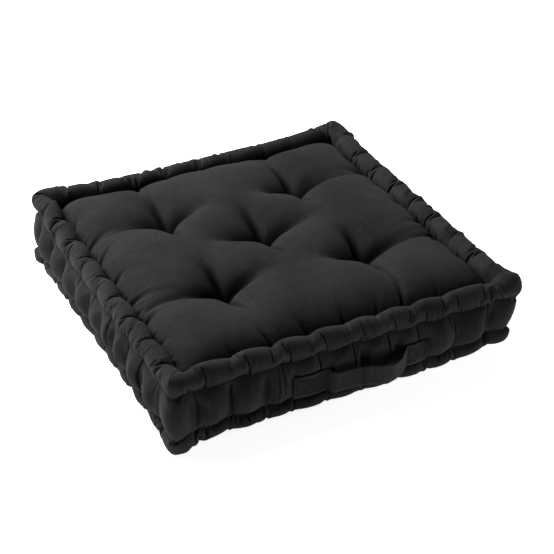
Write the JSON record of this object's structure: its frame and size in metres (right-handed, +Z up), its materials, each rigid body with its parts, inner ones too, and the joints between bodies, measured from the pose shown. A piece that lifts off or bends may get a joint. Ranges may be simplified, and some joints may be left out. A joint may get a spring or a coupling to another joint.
{
  "type": "floor cushion",
  "caption": "Square tufted floor cushion in dark cotton with stuffed edge rolls, a puffed border and a sewn-on carrying handle.",
  "frame": {"origin": "on the floor under the middle of the whole footprint, handle included", "axes": "+Z up out of the seat, -Y out through the side that carries the handle, +X to the right seen from that side"},
  "size_m": [0.5968, 0.6266, 0.132],
  "materials": {
    "cover_cloth": "matte woven cotton",
    "mattress_twine": "waxed twine",
    "sewing_thread": "cotton thread",
    "batting": "loose cotton batting"
  },
  "bodies": {
    "cushion": {"border_back": "cover_cloth", "border_front": "cover_cloth", "border_left": "cover_cloth", "border_right": "cover_cloth", "bottom_inner_stitching": "mattress_twine", "bottom_outer_stitching": "mattress_twine", "bottom_panel": "cover_cloth", "bottom_roll_back": "cover_cloth", "bottom_roll_filling": "batting", "bottom_roll_front": "cover_cloth", "bottom_roll_left": "cover_cloth", "bottom_roll_right": "cover_cloth", "handle_end_left": "cover_cloth", "handle_end_right": "cover_cloth", "handle_stitching_left": "sewing_thread", "handle_stitching_right": "sewing_thread", "lower_batt": "batting", "middle_batt": "batting", "top_inner_stitching": "mattress_twine", "top_outer_stitching": "mattress_twine", "top_panel": "cover_cloth", "top_roll_back": "cover_cloth", "top_roll_filling": "batting", "top_roll_front": "cover_cloth", "top_roll_left": "cover_cloth", "top_roll_right": "cover_cloth", "tuft_twine_back_left": "mattress_twine", "tuft_twine_back_right": "mattress_twine", "tuft_twine_front_left": "mattress_twine", "tuft_twine_front_right": "mattress_twine", "tuft_twine_middle": "mattress_twine", "upper_batt": "batting"},
    "handle": {"handle_strap": "cover_cloth"}
  },
  "joints": [
    {"name": "handle_swing", "type": "hinge", "parent": "cushion", "child": "handle", "pos_m": [0.022, -0.28611, 0.05], "axis": [-1, 0, 0], "range_deg": [-30, 50]}
  ]
}
